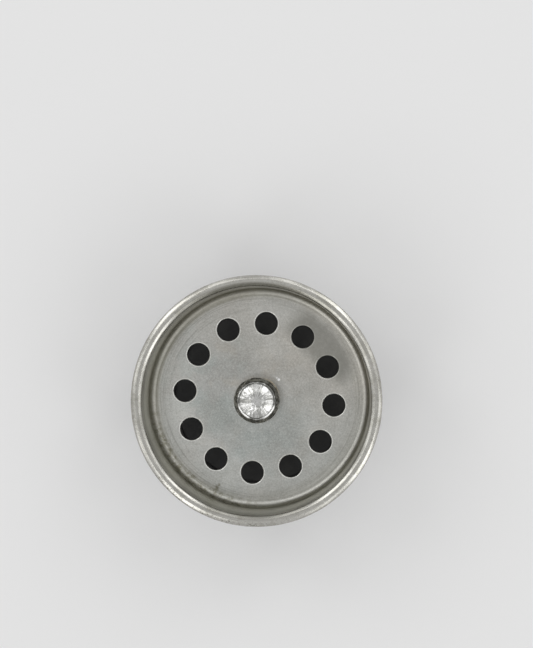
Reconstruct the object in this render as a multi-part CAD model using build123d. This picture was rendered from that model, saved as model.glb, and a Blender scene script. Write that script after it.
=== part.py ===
from build123d import *

import math
import os

# Sink strainer for a small drain. A pressed steel basket hangs by its rolled rim in the mouth of the drain,
# and a knob on a post lifts and lowers a rubber stopper under the basket's floor.
# The post slides and turns in a bush in the floor. A spring ring in the bush clicks into one of two grooves
# round the post, which holds the stopper up, with the drain open, or down, with the drain closed.
# Z points up along the post, and Z = 0 is the underside of the rim, where the drain carries the basket.
# The model stands as it does with the drain open. All lengths are in millimetres.

# Basket
RIM_RADIUS = 27.0
RIM_WIDTH = 2.35
RIM_HEIGHT = 1.7
RIM_EDGE_ROUND = 0.6
RIM_SLOPE_DEGREES = 26.0
RIM_CROWN_BEND = 1.6
HEM_GAP = 0.15
BASKET_DEPTH = 14.0
SHEET = 0.5
MOUTH_BEND = 0.05
WALL_TAPER = 0.45
FLOOR_CORNER = 1.5
HOLE_COUNT = 12
HOLE_RADIUS = 2.5
HOLE_INSET = 7.7
HOLE_EDGE_ROUND = 0.2
FIRST_HOLE_DEGREES = 24.6
PAD_MARGIN = 2.2
PAD_RISE = 0.1
PAD_SLOPE = 2.0
PAD_ROUND = 1.5

# Post, and how far the stopper travels
POST_RADIUS = 2.0
STOPPER_TRAVEL = 6.0
STOP_GAP = 0.2
KNOB_THREAD_STEP = 0.5
KNOB_THREAD_LENGTH = 3.4
COLLAR_WIDTH = 1.2
COLLAR_HEIGHT = 1.2
PEG_THREAD_LENGTH = 5.0
POST_CHAMFER = 0.3

# Bush in the basket's floor, with its washer and nut
BUSH_WALL = 1.35
BUSH_FLANGE_WIDTH = 1.0
BUSH_FLANGE_HEIGHT = 0.8
BUSH_PROUD = 0.3
BUSH_CHAMFER = 0.2
BUSH_WASHER_WIDTH = 1.75
BUSH_WASHER_HEIGHT = 0.4
BUSH_NUT_WALL = 1.1
BUSH_NUT_HEIGHT = 1.6

# Spring ring in the bush
RING_WIRE_RADIUS = 0.3
RING_BITE = 0.2
RING_GAP_DEGREES = 50.0

# Knob
KNOB_RADIUS = 4.95
KNOB_HEIGHT = 6.6
KNOB_NECK_WALL = 0.9
KNOB_NECK_HEIGHT = 2.6
KNOB_NECK_ROUND = 1.1
KNOB_FLARE_HEIGHT = 1.2
KNOB_RIM_HEIGHT = 0.5
KNOB_RIM_ROUND = 0.45
KNOB_SHOULDER_WIDTH = 0.9
KNOB_SHOULDER_ROUND = 0.4
KNOB_FACE_RADIUS = 3.7
KNOB_FACE_STEP = 0.25
KNOB_FACE_CROWN = 0.8
KNOB_EDGE_ROUND = 0.12

# Rubber stopper
SEAL_COVER = 2.0
SEAL_HUB_RADIUS = 10.0
SEAL_HUB_HEIGHT = 3.0
SEAL_WEB = 1.4
SEAL_WEB_FALL = 1.2
SEAL_LIP_WIDTH = 1.8
SEAL_LIP_DEPTH = 1.3
SEAL_LIP_RISE = 0.45
SEAL_LIP_ROUND = 0.5
SEAL_EDGE_ROUND = 0.2
SEAL_RIB_PLACE_SHARES = (0.14, 0.36)
SEAL_RIB_WIDTH = 0.8
SEAL_RIB_RISE = 0.35

# Flat washer above the rubber, and the cup washer that holds its hub from below
UPPER_WASHER_MARGIN = 1.5
UPPER_WASHER_HEIGHT = 0.8
UPPER_WASHER_ROUND = 0.2
CUP_WASHER_SHEET = 0.7
CUP_WASHER_RIM = 0.4
CUP_WASHER_BEND = 0.15

# Split lock washer, and the nylon guide peg that screws up against it
LOCK_WASHER_WIDTH = 1.55
LOCK_WASHER_HEIGHT = 0.9
LOCK_WASHER_SPLIT = 0.5
LOCK_WASHER_SPLIT_DEGREES = 20.0
PEG_HEX_WIDTH = 9.0
PEG_HEX_HEIGHT = 2.4
PEG_RADIUS = 3.5
PEG_LENGTH = 7.5
PEG_TIP_CHAMFER = 1.2
PEG_TIP_ROUND = 0.5
PEG_SLOT_WIDTH = 1.0
PEG_SLOT_DEPTH = 3.2
PEG_BORE_SPARE = 0.8
HEX_CORNER_CHAMFER = 0.35

# Clearances, and one overrun for every cut
RUNNING_CLEARANCE = 0.05
FIT_CLEARANCE = 0.05
RING_CLEARANCE = 0.03
CUT_OVERRUN = 1.0

# Levels, from the rim down
RIM_TOP = RIM_HEIGHT
FLOOR_TOP = RIM_TOP - BASKET_DEPTH
PAD_TOP = FLOOR_TOP + PAD_RISE
PAD_UNDERSIDE = PAD_TOP - SHEET
BUSH_TOP = PAD_TOP + BUSH_FLANGE_HEIGHT
BUSH_NUT_TOP = PAD_UNDERSIDE - BUSH_WASHER_HEIGHT
BUSH_BOTTOM = BUSH_NUT_TOP - BUSH_NUT_HEIGHT - BUSH_PROUD
RING_LEVEL = (BUSH_TOP + BUSH_BOTTOM) / 2
KNOB_BOTTOM = BUSH_TOP + STOPPER_TRAVEL + STOP_GAP
COLLAR_TOP = BUSH_BOTTOM - STOP_GAP
COLLAR_BOTTOM = COLLAR_TOP - COLLAR_HEIGHT
SEAL_TOP = COLLAR_BOTTOM - UPPER_WASHER_HEIGHT
SEAL_HUB_BOTTOM = SEAL_TOP - SEAL_HUB_HEIGHT
LOCK_WASHER_TOP = SEAL_HUB_BOTTOM - CUP_WASHER_SHEET
PEG_TOP = LOCK_WASHER_TOP - LOCK_WASHER_HEIGHT
PEG_PIN_TOP = PEG_TOP - PEG_HEX_HEIGHT
PEG_BOTTOM = PEG_PIN_TOP - PEG_LENGTH
POST_BOTTOM = PEG_TOP - PEG_THREAD_LENGTH

# Radii that follow from a neighbour's
MOUTH_RADIUS = RIM_RADIUS - RIM_WIDTH
FLOOR_RADIUS = MOUTH_RADIUS - WALL_TAPER
HOLE_CIRCLE_RADIUS = FLOOR_RADIUS - HOLE_INSET
BUSH_BORE_RADIUS = POST_RADIUS + RUNNING_CLEARANCE
BUSH_BODY_RADIUS = BUSH_BORE_RADIUS + BUSH_WALL
FLOOR_BORE_RADIUS = BUSH_BODY_RADIUS + FIT_CLEARANCE
BUSH_WASHER_RADIUS = FLOOR_BORE_RADIUS + BUSH_WASHER_WIDTH
PAD_RADIUS = BUSH_WASHER_RADIUS + PAD_MARGIN
RING_RADIUS = POST_RADIUS - RING_BITE + RING_WIRE_RADIUS
STACK_BORE_RADIUS = POST_RADIUS + FIT_CLEARANCE
SEAL_RADIUS = HOLE_CIRCLE_RADIUS + HOLE_RADIUS + SEAL_COVER


def turned(*lines):
    """A solid turned about the post's axis from lines that close an outline of radius and height."""
    return revolve(Plane.XZ * make_face(lines), Axis.Z)


def turned_outline(points, rounds=0):
    """A turned solid from the corners of its outline, each with its own rounding radius."""
    return turned(*FilletPolyline(*points, radius=rounds, close=True).edges())


def turned_sheet(path, bends, sheet):
    """A turned shell of even thickness on the right of a path, bent round each of its inner corners."""
    points = [Vector(*spot) for spot in path]
    runs = [(end - start).normalized() for start, end in zip(points, points[1:])]
    rights = [run.rotate(Axis.Z, -90) for run in runs]
    far_side = [points[0] + rights[0] * sheet]
    far_bends = []
    for point, bend, before, after in zip(points[1:], bends, rights, rights[1:]):
        far_side.append(point + (before + after) * (sheet / (1 + before.dot(after))))
        far_bends.append(bend + math.copysign(sheet, before.cross(after).Z))
    far_side.append(points[-1] + rights[-1] * sheet)
    return turned_outline(points + far_side[::-1], [0, *bends, 0, 0, *far_bends[::-1], 0])


def ring(outer, inner, top, height, edge_round=0):
    """A flat ring whose upper face lies at the level top."""
    corners = [(inner, top), (outer, top), (outer, top - height), (inner, top - height)]
    return turned_outline(corners, [0, edge_round, edge_round, 0])


def dome(radius, level, rise):
    """The arc of a low dome, from its rim at the given level to the post's axis."""
    sphere = (radius**2 + rise**2) / (2 * rise)
    half_angle = math.degrees(math.asin(radius / sphere))
    return CenterArc((0, level + rise - sphere), sphere, 90 - half_angle, half_angle)


def hexagon(width, bore, top, height):
    """A hexagonal nut with a plain bore and turned upper corners, its upper face at the level top."""
    corner = width / 2 / math.cos(math.pi / 6)
    bottom = top - height
    blank = turned_outline(
        [
            (bore, top),
            (corner - HEX_CORNER_CHAMFER, top),
            (corner, top - HEX_CORNER_CHAMFER),
            (corner, bottom),
            (bore, bottom),
        ]
    )
    flats = RegularPolygon(width / 2, 6, major_radius=False)
    return blank & extrude(Plane.XY.offset(bottom) * flats, height)


def make_basket():
    """The pressed cup, with its rolled rim, the raised pad in its floor and the ring of drain holes."""
    slope = math.radians(RIM_SLOPE_DEGREES)
    rim_peak = RIM_TOP + RIM_CROWN_BEND * (1 / math.cos(slope) - 1)
    rim_edge = rim_peak - RIM_WIDTH / 2 * math.tan(slope)
    path = [
        (FLOOR_BORE_RADIUS, PAD_TOP),
        (PAD_RADIUS - PAD_SLOPE, PAD_TOP),
        (PAD_RADIUS, FLOOR_TOP),
        (FLOOR_RADIUS, FLOOR_TOP),
        (MOUTH_RADIUS, rim_edge),
        (RIM_RADIUS - RIM_WIDTH / 2, rim_peak),
        (RIM_RADIUS, rim_edge),
        (RIM_RADIUS, 0),
        (MOUTH_RADIUS + SHEET + HEM_GAP, 0),
    ]
    rim_bends = [MOUTH_BEND + SHEET, RIM_CROWN_BEND, RIM_EDGE_ROUND, RIM_EDGE_ROUND]
    cup = turned_sheet(path, [PAD_ROUND + SHEET, PAD_ROUND, FLOOR_CORNER, *rim_bends], SHEET)
    punch = Cylinder(HOLE_RADIUS, SHEET + 2 * CUT_OVERRUN)
    spots = PolarLocations(HOLE_CIRCLE_RADIUS, HOLE_COUNT, start_angle=FIRST_HOLE_DEGREES)
    cup -= Pos(Z=FLOOR_TOP - SHEET / 2) * spots * punch
    circles = cup.edges().filter_by(GeomType.CIRCLE)
    hole_edges = circles.filter_by(lambda circle: math.isclose(circle.radius, HOLE_RADIUS))
    upper_edges = [
        edge for edge in hole_edges if math.isclose(edge.arc_center.Z, FLOOR_TOP, abs_tol=1e-6)
    ]
    return fillet(upper_edges, HOLE_EDGE_ROUND)


def make_floor_bush():
    """The flanged bush that guides the post, with a groove inside for the spring ring."""
    bush_flange = BUSH_BODY_RADIUS + BUSH_FLANGE_WIDTH
    bush = turned_outline(
        [
            (BUSH_BORE_RADIUS, BUSH_TOP),
            (bush_flange, BUSH_TOP),
            (bush_flange, PAD_TOP),
            (BUSH_BODY_RADIUS, PAD_TOP),
            (BUSH_BODY_RADIUS, BUSH_BOTTOM),
            (BUSH_BORE_RADIUS, BUSH_BOTTOM),
        ],
        [0, BUSH_CHAMFER, 0, 0, BUSH_CHAMFER, 0],
    )
    groove_radius = POST_RADIUS + 2 * (RING_WIRE_RADIUS + RING_CLEARANCE)
    groove_height = 2 * (RING_WIRE_RADIUS + RING_CLEARANCE)
    return bush - ring(groove_radius, 0, RING_LEVEL + groove_height / 2, groove_height)


def make_bush_washer():
    """The thin washer between the basket's floor and the bush's nut."""
    return ring(BUSH_WASHER_RADIUS, FLOOR_BORE_RADIUS, PAD_UNDERSIDE, BUSH_WASHER_HEIGHT)


def make_bush_nut():
    """The thin hexagonal nut that clamps the bush to the basket's floor."""
    width = 2 * (FLOOR_BORE_RADIUS + BUSH_NUT_WALL)
    return hexagon(width, FLOOR_BORE_RADIUS, BUSH_NUT_TOP, BUSH_NUT_HEIGHT)


def make_detent_ring():
    """The open ring of spring wire, as it lies in the post's lower groove."""
    wire = Plane.XZ * Pos(RING_RADIUS, RING_LEVEL) * Circle(RING_WIRE_RADIUS)
    return Rot(Z=RING_GAP_DEGREES / 2) * revolve(wire, Axis.Z, 360 - RING_GAP_DEGREES)


def make_knob():
    """The mushroom knob: neck, flared underside, rounded rim, sloping shoulder and low-crowned face."""
    neck = POST_RADIUS + KNOB_NECK_WALL
    bore = POST_RADIUS - KNOB_THREAD_STEP + FIT_CLEARANCE
    bore_top = KNOB_BOTTOM + KNOB_THREAD_LENGTH + STOP_GAP
    rim_bottom = KNOB_BOTTOM + KNOB_NECK_HEIGHT + KNOB_FLARE_HEIGHT
    rim_top = rim_bottom + KNOB_RIM_HEIGHT
    face_edge = KNOB_BOTTOM + KNOB_HEIGHT - KNOB_FACE_CROWN
    side = FilletPolyline(
        (0, bore_top),
        (bore, bore_top),
        (bore, KNOB_BOTTOM),
        (neck, KNOB_BOTTOM),
        (neck, KNOB_BOTTOM + KNOB_NECK_HEIGHT),
        (KNOB_RADIUS, rim_bottom),
        (KNOB_RADIUS, rim_top),
        (KNOB_RADIUS - KNOB_SHOULDER_WIDTH, face_edge - KNOB_FACE_STEP),
        (KNOB_FACE_RADIUS, face_edge - KNOB_FACE_STEP),
        (KNOB_FACE_RADIUS, face_edge),
        radius=[0, 0, KNOB_EDGE_ROUND, KNOB_NECK_ROUND, KNOB_RIM_ROUND, KNOB_RIM_ROUND]
        + [KNOB_SHOULDER_ROUND, 0],
    )
    face = dome(KNOB_FACE_RADIUS, face_edge, KNOB_FACE_CROWN)
    axis_line = Line((0, face_edge + KNOB_FACE_CROWN), (0, bore_top))
    return turned(*side.edges(), face, axis_line)


def make_post():
    """The post: thread for the knob, grooved shaft, stop collar, and the end that carries the stopper."""
    knob_thread = POST_RADIUS - KNOB_THREAD_STEP
    collar = POST_RADIUS + COLLAR_WIDTH
    post = turned_outline(
        [
            (0, KNOB_BOTTOM + KNOB_THREAD_LENGTH),
            (knob_thread, KNOB_BOTTOM + KNOB_THREAD_LENGTH),
            (knob_thread, KNOB_BOTTOM),
            (POST_RADIUS, KNOB_BOTTOM),
            (POST_RADIUS, COLLAR_TOP),
            (collar, COLLAR_TOP),
            (collar, COLLAR_BOTTOM),
            (POST_RADIUS, COLLAR_BOTTOM),
            (POST_RADIUS, POST_BOTTOM),
            (0, POST_BOTTOM),
        ],
        [0, POST_CHAMFER, 0, 0, 0, POST_CHAMFER, 0, 0, POST_CHAMFER, 0],
    )
    groove = Torus(RING_RADIUS, RING_WIRE_RADIUS + RING_CLEARANCE)
    for level in (RING_LEVEL, RING_LEVEL + STOPPER_TRAVEL):
        post -= Pos(Z=level) * groove
    return post


def make_upper_washer():
    """The flat washer between the post's collar and the rubber."""
    outer = SEAL_HUB_RADIUS - UPPER_WASHER_MARGIN
    return ring(outer, STACK_BORE_RADIUS, COLLAR_BOTTOM, UPPER_WASHER_HEIGHT, UPPER_WASHER_ROUND)


def make_stopper_seal():
    """The rubber stopper: a thick hub, a falling web with ribs, and a lip with a flat sealing face."""
    lip_inner = SEAL_RADIUS - SEAL_LIP_WIDTH
    web_top = SEAL_TOP - (SEAL_HUB_HEIGHT - SEAL_WEB) / 2
    web_end = web_top - SEAL_WEB_FALL
    lip_top = web_end + SEAL_LIP_RISE
    lip_bottom = web_end - SEAL_WEB - SEAL_LIP_DEPTH
    upper_side = [
        (STACK_BORE_RADIUS, SEAL_TOP),
        (SEAL_HUB_RADIUS, SEAL_TOP),
        (SEAL_HUB_RADIUS, web_top),
        (lip_inner, web_end),
        (lip_inner, lip_top),
        (SEAL_RADIUS, lip_top),
    ]
    lower_side = [
        (SEAL_RADIUS, lip_bottom),
        (lip_inner, lip_bottom),
        (lip_inner - SEAL_LIP_DEPTH, web_end - SEAL_WEB),
        (SEAL_HUB_RADIUS, web_top - SEAL_WEB),
        (SEAL_HUB_RADIUS, SEAL_HUB_BOTTOM),
        (STACK_BORE_RADIUS, SEAL_HUB_BOTTOM),
    ]
    upper_rounds = [0, SEAL_EDGE_ROUND, SEAL_EDGE_ROUND, 0, SEAL_EDGE_ROUND, SEAL_LIP_ROUND]
    lower_rounds = [SEAL_LIP_ROUND, SEAL_EDGE_ROUND, SEAL_LIP_ROUND, SEAL_EDGE_ROUND, SEAL_EDGE_ROUND, 0]
    seal = turned_outline(upper_side + lower_side, upper_rounds + lower_rounds)
    for place in SEAL_RIB_PLACE_SHARES:
        middle = SEAL_HUB_RADIUS + place * (lip_inner - SEAL_HUB_RADIUS)
        rib_top = web_top - place * SEAL_WEB_FALL + SEAL_RIB_RISE
        half_width = SEAL_RIB_WIDTH / 2
        seal += ring(middle + half_width, middle - half_width, rib_top, SEAL_RIB_RISE + SEAL_WEB / 2)
    return seal


def make_cup_washer():
    """The cup washer under the rubber, whose low rim stands round the hub."""
    cup_radius = SEAL_HUB_RADIUS + FIT_CLEARANCE
    path = [
        (STACK_BORE_RADIUS, SEAL_HUB_BOTTOM),
        (cup_radius, SEAL_HUB_BOTTOM),
        (cup_radius, SEAL_HUB_BOTTOM + CUP_WASHER_RIM),
    ]
    return turned_sheet(path, [CUP_WASHER_BEND], CUP_WASHER_SHEET)


def make_lock_washer():
    """The split spring washer, flattened as it is when tight."""
    outer = STACK_BORE_RADIUS + LOCK_WASHER_WIDTH
    washer = ring(outer, STACK_BORE_RADIUS, LOCK_WASHER_TOP, LOCK_WASHER_HEIGHT)
    split_height = LOCK_WASHER_HEIGHT + 2 * CUT_OVERRUN
    split = Rot(X=LOCK_WASHER_SPLIT_DEGREES) * Box(2 * outer, LOCK_WASHER_SPLIT, split_height)
    return washer - Pos(outer, 0, LOCK_WASHER_TOP - LOCK_WASHER_HEIGHT / 2) * split


def make_guide_peg():
    """The nylon peg: a threaded hexagon, and a round pin with a tapered tip that is split to spring."""
    pin = turned_outline(
        [
            (0, PEG_PIN_TOP + PEG_HEX_HEIGHT / 2),
            (PEG_RADIUS, PEG_PIN_TOP + PEG_HEX_HEIGHT / 2),
            (PEG_RADIUS, PEG_BOTTOM + PEG_TIP_CHAMFER),
            (PEG_RADIUS - PEG_TIP_CHAMFER, PEG_BOTTOM),
            (0, PEG_BOTTOM),
        ],
        [0, 0, PEG_TIP_ROUND, PEG_TIP_ROUND, 0],
    )
    peg = hexagon(PEG_HEX_WIDTH, STACK_BORE_RADIUS, PEG_TOP, PEG_HEX_HEIGHT) + pin
    peg -= ring(STACK_BORE_RADIUS, 0, PEG_TOP, PEG_THREAD_LENGTH + PEG_BORE_SPARE)
    slot = Box(2 * PEG_RADIUS + CUT_OVERRUN, PEG_SLOT_WIDTH, 2 * PEG_SLOT_DEPTH)
    return peg - Pos(Z=PEG_BOTTOM) * slot


PIECES = {
    "basket": make_basket,
    "floor_bush": make_floor_bush,
    "bush_washer": make_bush_washer,
    "bush_nut": make_bush_nut,
    "detent_ring": make_detent_ring,
    "knob": make_knob,
    "post": make_post,
    "upper_washer": make_upper_washer,
    "stopper_seal": make_stopper_seal,
    "cup_washer": make_cup_washer,
    "lock_washer": make_lock_washer,
    "guide_peg": make_guide_peg,
}

os.makedirs("parts", exist_ok=True)
for name, make in PIECES.items():
    piece = make()
    export_step(piece, f"parts/{name}.step")
    print(name, round(piece.volume, 1), "mm3")
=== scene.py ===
# Scene of a sink strainer over a plain floor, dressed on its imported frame.
import logging
import math
from dataclasses import dataclass
from typing import Any, Iterator, Sequence

import bmesh
import bpy
from mathutils import Matrix, Vector


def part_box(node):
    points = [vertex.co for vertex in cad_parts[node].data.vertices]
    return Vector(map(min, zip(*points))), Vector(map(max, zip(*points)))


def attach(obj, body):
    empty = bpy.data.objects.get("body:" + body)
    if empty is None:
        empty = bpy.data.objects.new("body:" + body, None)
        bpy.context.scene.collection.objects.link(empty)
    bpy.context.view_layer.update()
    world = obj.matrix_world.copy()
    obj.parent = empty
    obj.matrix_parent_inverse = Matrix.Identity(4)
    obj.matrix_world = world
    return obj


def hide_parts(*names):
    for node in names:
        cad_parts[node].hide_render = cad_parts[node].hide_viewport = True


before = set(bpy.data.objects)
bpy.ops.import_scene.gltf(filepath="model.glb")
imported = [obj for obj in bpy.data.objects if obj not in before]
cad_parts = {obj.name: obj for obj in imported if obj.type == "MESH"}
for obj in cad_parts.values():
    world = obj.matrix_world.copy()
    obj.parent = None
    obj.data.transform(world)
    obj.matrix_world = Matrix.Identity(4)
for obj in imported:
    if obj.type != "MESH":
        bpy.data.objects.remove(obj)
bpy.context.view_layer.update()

log = logging.getLogger("strainer")

MM = 0.001
PATTERN_AVERAGE = 0.5
STRAIGHT_TURN = 1e-4
WELD_DISTANCE = 2e-7
SHARP_ANGLE = math.radians(32.0)

Point = tuple[float, float]
Band = tuple[float, float, float]
Colour = tuple[float, float, float, float]
Coat = tuple["Signal", Colour]


# Sizes that a mesh and its finish share


@dataclass(frozen=True)
class CupFloor:
    """The cup's floor, the bend at its edge and its ring of drain holes, in millimetres and radians."""

    top: float = -12.3
    radius: float = 24.2
    bend: float = 1.5
    sheet: float = 0.5
    hole_count: int = 12
    hole_radius: float = 2.5
    hole_circle: float = 16.5
    first_hole: float = math.radians(24.6)

    @property
    def bottom(self) -> float:
        """The level of the floor's underside."""
        return self.top - self.sheet

    @property
    def pitch(self) -> float:
        """The angle from one hole to the next."""
        return math.tau / self.hole_count

    @property
    def first_edge(self) -> float:
        """The angle where the first hole's sector starts."""
        return self.first_hole - self.pitch / 2


@dataclass(frozen=True)
class KnobTop:
    """The radii of the knob's face and of the crest round it, in millimetres."""

    face: float = 3.7
    crest: float = 4.0


# Shader maths


class Signal:
    """A number that varies over a surface. Its operators add Math nodes."""

    def __init__(self, tree: "FinishTree", socket: bpy.types.NodeSocket) -> None:
        """Keeps the socket, and the tree that further nodes go into."""
        self.tree = tree
        self.socket = socket

    def maths(self, operation: str, *others: Any) -> "Signal":
        """Adds one Math node, which this signal goes into first."""
        return self.tree.maths(operation, self, *others)

    def __add__(self, other: Any) -> "Signal":
        """This signal plus another."""
        return self.maths("ADD", other)

    def __radd__(self, other: Any) -> "Signal":
        """A number plus this signal."""
        return self.tree.maths("ADD", other, self)

    def __sub__(self, other: Any) -> "Signal":
        """This signal less another."""
        return self.maths("SUBTRACT", other)

    def __rsub__(self, other: Any) -> "Signal":
        """A number less this signal."""
        return self.tree.maths("SUBTRACT", other, self)

    def __mul__(self, other: Any) -> "Signal":
        """This signal times another."""
        return self.maths("MULTIPLY", other)

    def __rmul__(self, other: Any) -> "Signal":
        """A number times this signal."""
        return self.tree.maths("MULTIPLY", other, self)

    def __truediv__(self, other: Any) -> "Signal":
        """This signal divided by another."""
        return self.maths("DIVIDE", other)

    def __rtruediv__(self, other: Any) -> "Signal":
        """A number divided by this signal."""
        return self.tree.maths("DIVIDE", other, self)

    def __pow__(self, other: Any) -> "Signal":
        """This signal raised to a power."""
        return self.maths("POWER", other)

    def __rpow__(self, other: Any) -> "Signal":
        """A number raised to this signal."""
        return self.tree.maths("POWER", other, self)

    def ramp(self, low: float, high: float) -> "Signal":
        """Rises smoothly from 0 where this signal is low to 1 where it is high.

        Args:
            low: The value that gives 0.
            high: The value that gives 1. It may be below low.

        Returns:
            The smoothed share.
        """
        settings = {"interpolation_type": "SMOOTHSTEP"}
        inputs = {"Value": self, "From Min": low, "From Max": high}
        return Signal(self.tree, self.tree.node("ShaderNodeMapRange", settings, inputs).outputs[0])

    def band(self, middle: float, half_width: float, blur: float) -> "Signal":
        """A band round one value of this signal.

        Args:
            middle: The value in the band's middle.
            half_width: How far the full band reaches to each side.
            blur: How far beyond that it fades out.

        Returns:
            1 inside the band, and 0 outside it.
        """
        return (self - middle).maths("ABSOLUTE").ramp(half_width + blur, half_width)

    def swing(self) -> "Signal":
        """A pattern's rise above its average, or its fall below it."""
        return self - PATTERN_AVERAGE


class FinishTree:
    """The nodes of one material, with the places on the object that its patterns are laid out by."""

    def __init__(self, name: str) -> None:
        """Makes an empty material and finds the place in millimetres, from the post's axis.

        Args:
            name: The material's name.
        """
        self.material = bpy.data.materials.new(name)
        self.material.use_nodes = True
        self.tree = self.material.node_tree
        self.tree.nodes.clear()
        place = self.node("ShaderNodeTexCoord").outputs["Object"]
        scaled = self.node("ShaderNodeVectorMath", {"operation": "SCALE"}, {0: place, "Scale": 1 / MM})
        self.place = scaled.outputs[0]
        parts = self.node("ShaderNodeSeparateXYZ", {}, {0: self.place}).outputs
        self.x, self.y, self.z = (Signal(self, part) for part in parts)
        self.radius = (self.x * self.x + self.y * self.y) ** 0.5

    def node(
        self,
        kind: str,
        settings: dict[str, Any] | None = None,
        inputs: dict[str | int, Any] | None = None,
    ) -> bpy.types.Node:
        """Adds a node of any type.

        Args:
            kind: Blender's name for the node's type.
            settings: The node's own settings, which are set first.
            inputs: A value, a signal or a socket for each input, by its name or number.

        Returns:
            The new node.
        """
        node = self.tree.nodes.new(kind)
        for name, value in (settings or {}).items():
            setattr(node, name, value)
        for key, value in (inputs or {}).items():
            source = value.socket if isinstance(value, Signal) else value
            if isinstance(source, bpy.types.NodeSocket):
                self.tree.links.new(source, node.inputs[key])
            else:
                node.inputs[key].default_value = source
        return node

    def maths(self, operation: str, *terms: Any) -> Signal:
        """Adds one Math node.

        Args:
            operation: Blender's name for the operation.
            terms: The node's inputs in order, signals or plain numbers.

        Returns:
            The node's result.
        """
        node = self.node("ShaderNodeMath", {"operation": operation}, dict(enumerate(terms)))
        return Signal(self, node.outputs[0])

    def toward(self, azimuth: float) -> Signal:
        """How far a place lies from the post's axis toward an azimuth in degrees."""
        angle = math.radians(azimuth)
        return self.x * math.cos(angle) + self.y * math.sin(angle)

    def vector(self, x: Any, y: Any, z: Any) -> bpy.types.NodeSocket:
        """A vector from three signals or numbers."""
        return self.node("ShaderNodeCombineXYZ", {}, {0: x, 1: y, 2: z}).outputs[0]

    def round_place(self, around: float, outward: float, upward: float) -> bpy.types.NodeSocket:
        """A place for patterns that run round the post's axis, with no seam.

        Args:
            around: How fast the pattern changes round the axis.
            outward: How fast it changes away from the axis.
            upward: How fast it changes with height.

        Returns:
            A vector for a noise node, whose own scale is then 1.
        """
        east = self.x / self.radius * around
        north = self.y / self.radius * around
        return self.vector(east, north, self.radius * outward + self.z * upward)

    def noise(
        self,
        scale: float,
        detail: float,
        roughness: float,
        place: bpy.types.NodeSocket | None = None,
    ) -> Signal:
        """A cloudy pattern from 0 to 1.

        Args:
            scale: Changes per millimetre, unless a place of its own is given.
            detail: How many finer layers it has.
            roughness: How strong the finer layers are.
            place: Where it is read, or None for the plain place on the object.

        Returns:
            The pattern.
        """
        inputs = {"Vector": place or self.place, "Scale": scale, "Detail": detail, "Roughness": roughness}
        return Signal(self, self.node("ShaderNodeTexNoise", {}, inputs).outputs[0])

    def layers(self, colour: Any, *coats: Coat) -> bpy.types.NodeSocket:
        """Lays coats of colour over one another.

        Args:
            colour: The bare colour.
            coats: The share and the colour of each coat, in the order in which they are laid.

        Returns:
            The colour that shows.
        """
        for share, coat in coats:
            inputs = {0: share, 6: colour, 7: coat}
            colour = self.node("ShaderNodeMix", {"data_type": "RGBA"}, inputs).outputs[2]
        return colour

    def bump(
        self,
        height: Signal,
        depth: float,
        before: bpy.types.NodeSocket | None = None,
    ) -> bpy.types.NodeSocket:
        """Roughens the surface with a fine pattern.

        Args:
            height: The pattern, from 0 to 1.
            depth: How deep it is, in millimetres.
            before: An earlier bump that this one is added to.

        Returns:
            The normal that the shader takes.
        """
        inputs: dict[str | int, Any] = {"Height": height, "Distance": depth * MM, "Strength": 1.0}
        if before is not None:
            inputs["Normal"] = before
        return self.node("ShaderNodeBump", {}, inputs).outputs[0]

    def finish(self, **sockets: Any) -> bpy.types.Material:
        """Ends the tree in a shader.

        Args:
            sockets: Each of the shader's inputs by name, with _ for a space.

        Returns:
            The finished material.
        """
        inputs = {name.replace("_", " "): value for name, value in sockets.items()}
        shader = self.node("ShaderNodeBsdfPrincipled", {}, inputs)
        self.node("ShaderNodeOutputMaterial", {}, {"Surface": shader.outputs[0]})
        return self.material


def grey(level: float) -> Colour:
    """A grey of one level."""
    return (level, level, level, 1.0)


# Finishes


@dataclass(frozen=True)
class FloorSpot:
    """A round place on the cup's floor, in millimetres, and how strongly it shows."""

    x: float
    y: float
    size: float
    blur: float
    share: float = 1.0

    def mask(self, tree: FinishTree) -> Signal:
        """The spot's strength.

        Args:
            tree: The nodes of the floor's material.

        Returns:
            The share inside the spot, fading to 0 outside it.
        """
        east, north = tree.x - self.x, tree.y - self.y
        away = (east * east + north * north) ** 0.5
        return away.ramp(self.size + self.blur, self.size) * self.share


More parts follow.
